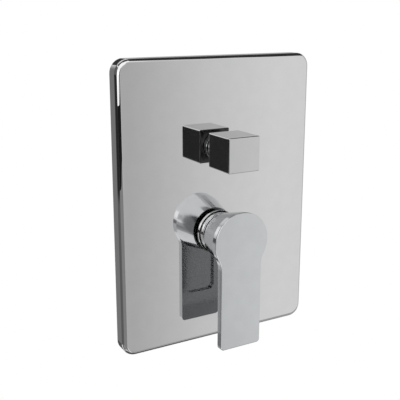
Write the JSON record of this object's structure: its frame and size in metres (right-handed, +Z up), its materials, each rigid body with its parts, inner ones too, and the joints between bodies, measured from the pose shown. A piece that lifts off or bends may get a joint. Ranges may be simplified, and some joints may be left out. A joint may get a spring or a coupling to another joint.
{
  "type": "concealed mixer valve",
  "caption": "Concealed bath and shower mixer: rectangular chromed wall plate with a keyhole-shaped lever, a square diverter knob above it and a brass valve body in the wall.",
  "frame": {"origin": "centre of the cover plate on the plane of the finished wall", "axes": "+X to the right for a person facing the valve, +Y into the wall, +Z up; the plate, lever and knob stand out towards -Y"},
  "size_m": [0.15, 0.1067, 0.2026],
  "materials": {
    "plate_chrome": "pressed steel sheet, polished and chrome plated",
    "foam": "closed-cell foam strip",
    "cast_brass": "cast and machined brass",
    "turned_brass": "turned brass",
    "cartridge_plastic": "moulded engineering plastic",
    "guide_plastic": "moulded glass-filled plastic",
    "seal_rubber": "moulded rubber",
    "fibre": "pressed fibre gasket",
    "ceramic": "ground and lapped alumina",
    "steel": "stainless steel",
    "trim_chrome": "turned brass, polished and chrome plated",
    "knob_chrome": "machined brass, polished and chrome plated",
    "lever_chrome": "zinc casting, polished and chrome plated",
    "plug_plastic": "moulded plastic"
  },
  "bodies": {
    "valve": {"cover_plate": "plate_chrome", "plate_seal": "foam", "valve_body": "cast_brass", "hot_union": "turned_brass", "cold_union": "turned_brass", "shower_union": "turned_brass", "bath_union": "turned_brass", "union_washers": "fibre", "cartridge_base": "cartridge_plastic", "base_seals": "seal_rubber", "fixed_disc": "ceramic", "cartridge_housing": "cartridge_plastic", "cartridge_nut": "turned_brass", "cartridge_sleeve": "trim_chrome", "sleeve_ring": "seal_rubber", "diverter_gasket": "seal_rubber", "diverter_fixed_disc": "ceramic", "diverter_headwork": "turned_brass", "headwork_seal": "fibre", "neck_sleeve": "trim_chrome", "neck_ring": "seal_rubber"},
    "rotor": {"cartridge_rotor": "guide_plastic", "rotor_ring": "seal_rubber", "pivot_pin": "steel"},
    "lever": {"mixer_spindle": "turned_brass", "lever_handle": "lever_chrome", "lever_screw": "steel", "lever_plug": "plug_plastic"},
    "discs": {"moving_disc": "ceramic", "disc_carrier": "guide_plastic"},
    "knob": {"diverter_spindle": "turned_brass", "stem_rings": "seal_rubber", "diverter_circlip": "steel", "diverter_moving_disc": "ceramic", "diverter_knob": "knob_chrome", "knob_screw": "steel"}
  },
  "joints": [
    {"name": "temperature_turn", "type": "hinge", "parent": "valve", "child": "rotor", "pos_m": [0, 0, -0.0219], "axis": [0, -1, 0], "range_deg": [-45, 45]},
    {"name": "flow_lift", "type": "hinge", "parent": "rotor", "child": "lever", "pos_m": [0, 0.006, -0.0219], "axis": [-1, 0, 0], "range_deg": [0, 20]},
    {"name": "disc_slide", "type": "slide", "parent": "rotor", "child": "discs", "axis": [0, 0, -1], "range_m": [0, 0.00362]},
    {"name": "diverter_turn", "type": "hinge", "parent": "valve", "child": "knob", "pos_m": [0, 0, 0.0394], "axis": [0, -1, 0], "range_deg": [0, 90]}
  ],
  "couplings": [
    {"joint": "disc_slide", "follows": "flow_lift", "m_per_rad": 0.01034}
  ]
}
